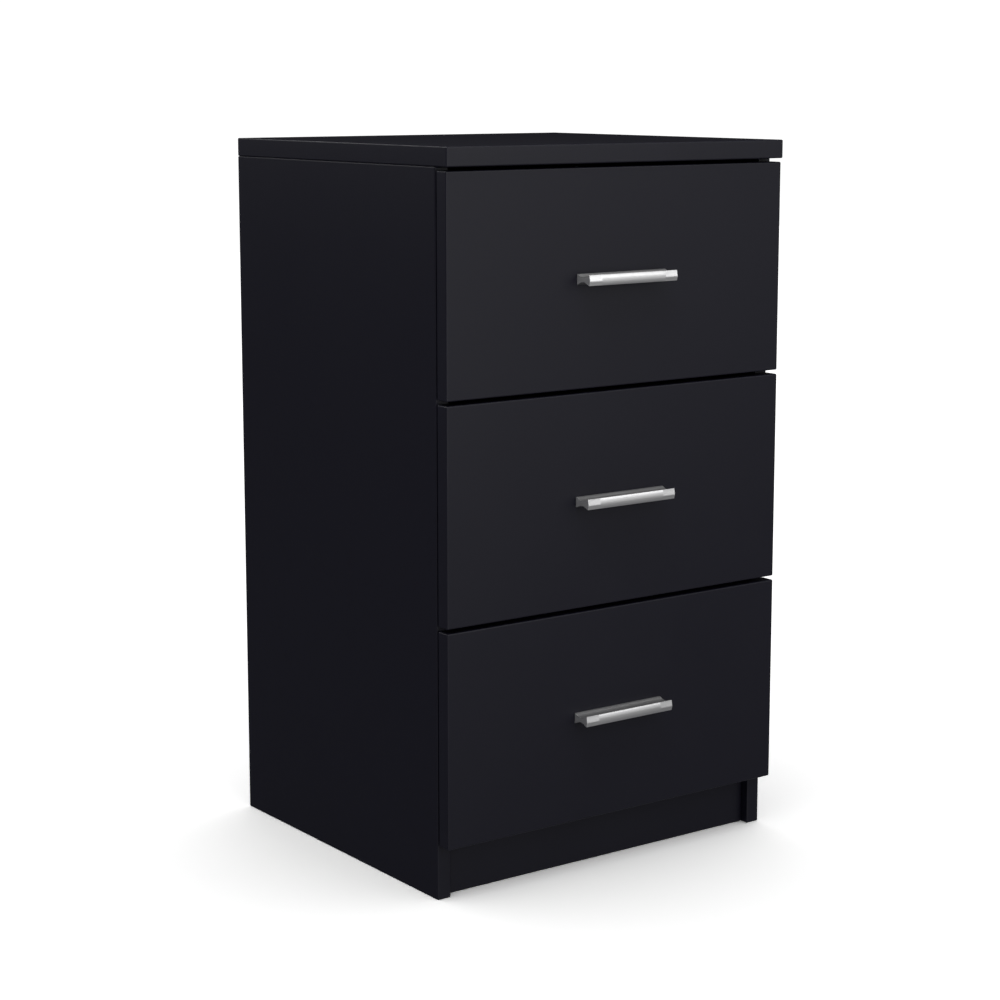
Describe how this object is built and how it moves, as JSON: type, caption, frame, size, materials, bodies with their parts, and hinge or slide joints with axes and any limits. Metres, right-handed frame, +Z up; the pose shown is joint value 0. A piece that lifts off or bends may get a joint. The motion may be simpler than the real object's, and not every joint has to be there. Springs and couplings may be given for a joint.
{
  "type": "nightstand with drawers",
  "caption": "Tall narrow black nightstand: a boxed cabinet with full-overlay drawers on roller runners, slim profile handles and a recessed plinth.",
  "frame": {"origin": "on the floor, under the middle of the closed object's outline, handles included", "axes": "+X to the viewer's right, -Y out of the drawer fronts, +Z up"},
  "size_m": [0.4, 0.3864, 0.697],
  "materials": {
    "black_laminate": "satin black melamine-faced board with thin edge banding",
    "hardboard": "thin dark lacquered fibreboard",
    "aluminium": "satin anodised, drawn along its length",
    "runner_steel": "white epoxy coating, slightly glossy",
    "nylon": "moulded",
    "zinc": "zinc plated",
    "beech": "fluted raw beech"
  },
  "bodies": {
    "cabinet": {"top_panel": "black_laminate", "left_side_panel": "black_laminate", "right_side_panel": "black_laminate", "bottom_panel": "black_laminate", "plinth_board": "black_laminate", "back_panel": "hardboard", "cabinet_cam_locks": "zinc", "cabinet_cam_bolts": "zinc", "cabinet_dowels": "beech", "back_panel_screws": "zinc", "cabinet_rail_screws": "zinc", "top_left_cabinet_rail": "runner_steel", "top_right_cabinet_rail": "runner_steel", "middle_left_cabinet_rail": "runner_steel", "middle_right_cabinet_rail": "runner_steel", "bottom_left_cabinet_rail": "runner_steel", "bottom_right_cabinet_rail": "runner_steel"},
    "top_drawer": {"top_drawer_front": "black_laminate", "top_drawer_left_side": "black_laminate", "top_drawer_right_side": "black_laminate", "top_drawer_back": "black_laminate", "top_drawer_bottom": "hardboard", "top_drawer_handle": "aluminium", "top_drawer_handle_screws": "zinc", "top_drawer_left_rail": "runner_steel", "top_drawer_right_rail": "runner_steel", "top_drawer_cam_fittings": "zinc", "top_drawer_box_screws": "zinc", "top_drawer_rail_screws": "zinc"},
    "top_front_rollers": {"top_front_rollers": "nylon"},
    "top_drawer_rear_rollers": {"top_drawer_rear_rollers": "nylon"},
    "middle_drawer": {"middle_drawer_front": "black_laminate", "middle_drawer_left_side": "black_laminate", "middle_drawer_right_side": "black_laminate", "middle_drawer_back": "black_laminate", "middle_drawer_bottom": "hardboard", "middle_drawer_handle": "aluminium", "middle_drawer_handle_screws": "zinc", "middle_drawer_left_rail": "runner_steel", "middle_drawer_right_rail": "runner_steel", "middle_drawer_cam_fittings": "zinc", "middle_drawer_box_screws": "zinc", "middle_drawer_rail_screws": "zinc"},
    "middle_front_rollers": {"middle_front_rollers": "nylon"},
    "middle_drawer_rear_rollers": {"middle_drawer_rear_rollers": "nylon"},
    "bottom_drawer": {"bottom_drawer_front": "black_laminate", "bottom_drawer_left_side": "black_laminate", "bottom_drawer_right_side": "black_laminate", "bottom_drawer_back": "black_laminate", "bottom_drawer_bottom": "hardboard", "bottom_drawer_handle": "aluminium", "bottom_drawer_handle_screws": "zinc", "bottom_drawer_left_rail": "runner_steel", "bottom_drawer_right_rail": "runner_steel", "bottom_drawer_cam_fittings": "zinc", "bottom_drawer_box_screws": "zinc", "bottom_drawer_rail_screws": "zinc"},
    "bottom_front_rollers": {"bottom_front_rollers": "nylon"},
    "bottom_drawer_rear_rollers": {"bottom_drawer_rear_rollers": "nylon"}
  },
  "joints": [
    {"name": "top_drawer_slide", "type": "slide", "parent": "cabinet", "child": "top_drawer", "axis": [0, -1, 0], "range_m": [0, 0.22]},
    {"name": "top_front_roller_spin", "type": "hinge", "parent": "cabinet", "child": "top_front_rollers", "pos_m": [0, -0.1444, 0.5082], "axis": [1, 0, 0], "range_deg": [0, 1262]},
    {"name": "top_rear_roller_spin", "type": "hinge", "parent": "top_drawer", "child": "top_drawer_rear_rollers", "pos_m": [0, 0.1302, 0.506], "axis": [1, 0, 0], "range_deg": [0, 1402]},
    {"name": "middle_drawer_slide", "type": "slide", "parent": "cabinet", "child": "middle_drawer", "axis": [0, -1, 0], "range_m": [0, 0.22]},
    {"name": "middle_front_roller_spin", "type": "hinge", "parent": "cabinet", "child": "middle_front_rollers", "pos_m": [0, -0.1444, 0.2992], "axis": [1, 0, 0], "range_deg": [0, 1262]},
    {"name": "middle_rear_roller_spin", "type": "hinge", "parent": "middle_drawer", "child": "middle_drawer_rear_rollers", "pos_m": [0, 0.1302, 0.297], "axis": [1, 0, 0], "range_deg": [0, 1402]},
    {"name": "bottom_drawer_slide", "type": "slide", "parent": "cabinet", "child": "bottom_drawer", "axis": [0, -1, 0], "range_m": [0, 0.22]},
    {"name": "bottom_front_roller_spin", "type": "hinge", "parent": "cabinet", "child": "bottom_front_rollers", "pos_m": [0, -0.1444, 0.0902], "axis": [1, 0, 0], "range_deg": [0, 1262]},
    {"name": "bottom_rear_roller_spin", "type": "hinge", "parent": "bottom_drawer", "child": "bottom_drawer_rear_rollers", "pos_m": [0, 0.1302, 0.088], "axis": [1, 0, 0], "range_deg": [0, 1402]}
  ],
  "couplings": [
    {"joint": "top_front_roller_spin", "follows": "top_drawer_slide", "rad_per_m": 100},
    {"joint": "top_rear_roller_spin", "follows": "top_drawer_slide", "rad_per_m": 111.11},
    {"joint": "middle_front_roller_spin", "follows": "middle_drawer_slide", "rad_per_m": 100},
    {"joint": "middle_rear_roller_spin", "follows": "middle_drawer_slide", "rad_per_m": 111.11},
    {"joint": "bottom_front_roller_spin", "follows": "bottom_drawer_slide", "rad_per_m": 100},
    {"joint": "bottom_rear_roller_spin", "follows": "bottom_drawer_slide", "rad_per_m": 111.11}
  ]
}
